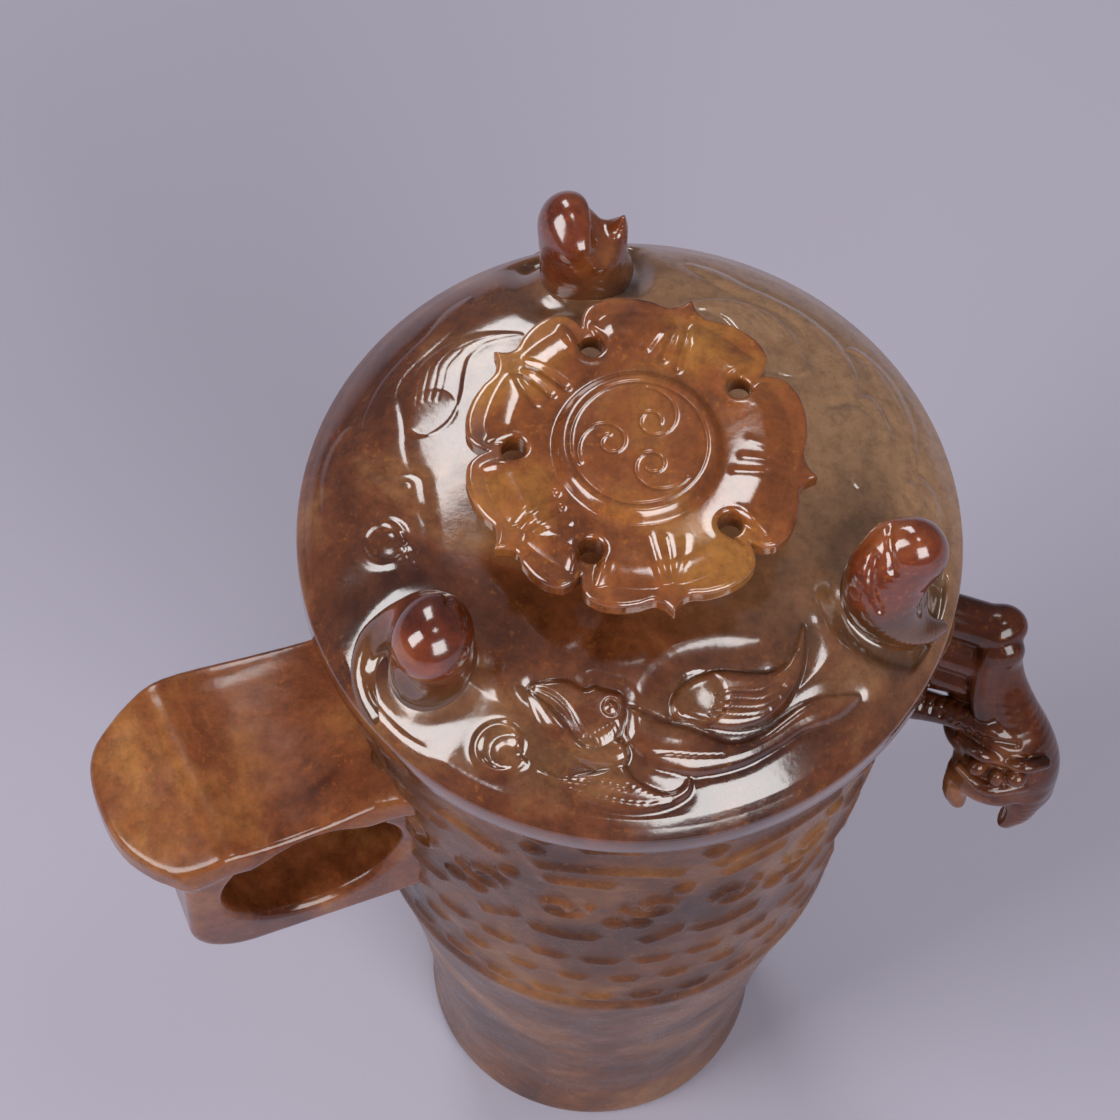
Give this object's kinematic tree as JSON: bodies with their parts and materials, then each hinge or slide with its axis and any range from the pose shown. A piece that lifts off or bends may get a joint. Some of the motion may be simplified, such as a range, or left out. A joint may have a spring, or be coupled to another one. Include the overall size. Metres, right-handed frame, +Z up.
{
  "type": "lidded jade cup",
  "caption": "Tapered carved jade cup on a plain foot, with a finger ring and thumb plate, an openwork dragon handle and a domed lid with curled hooks and a flower knob.",
  "frame": {"origin": "centre of the foot's flat underside, on the surface that the cup stands on", "axes": "+Z up along the cup's turned axis; the finger ring points towards -X and a little -Y, and the dragon handle towards +X"},
  "size_m": [0.1111, 0.074, 0.159],
  "materials": {
    "bowl_jade": "polished",
    "foot_jade": "polished",
    "handle_jade": "polished",
    "lid_jade": "polished",
    "hook_jade": "polished",
    "flower_jade": "polished"
  },
  "bodies": {
    "cup": {"cup_bowl": "bowl_jade", "cup_foot": "foot_jade", "finger_ring": "handle_jade", "thumb_plate": "handle_jade", "dragon_handle": "handle_jade"},
    "lid": {"lid": "lid_jade", "lid_hook_1": "hook_jade", "lid_hook_2": "hook_jade", "lid_hook_3": "hook_jade", "knob_stem": "lid_jade", "flower_knob": "flower_jade"}
  },
  "joints": [
    {"name": "lid_lift", "type": "slide", "parent": "cup", "child": "lid", "axis": [0, 0, 1], "range_m": [0, 0.04]}
  ]
}
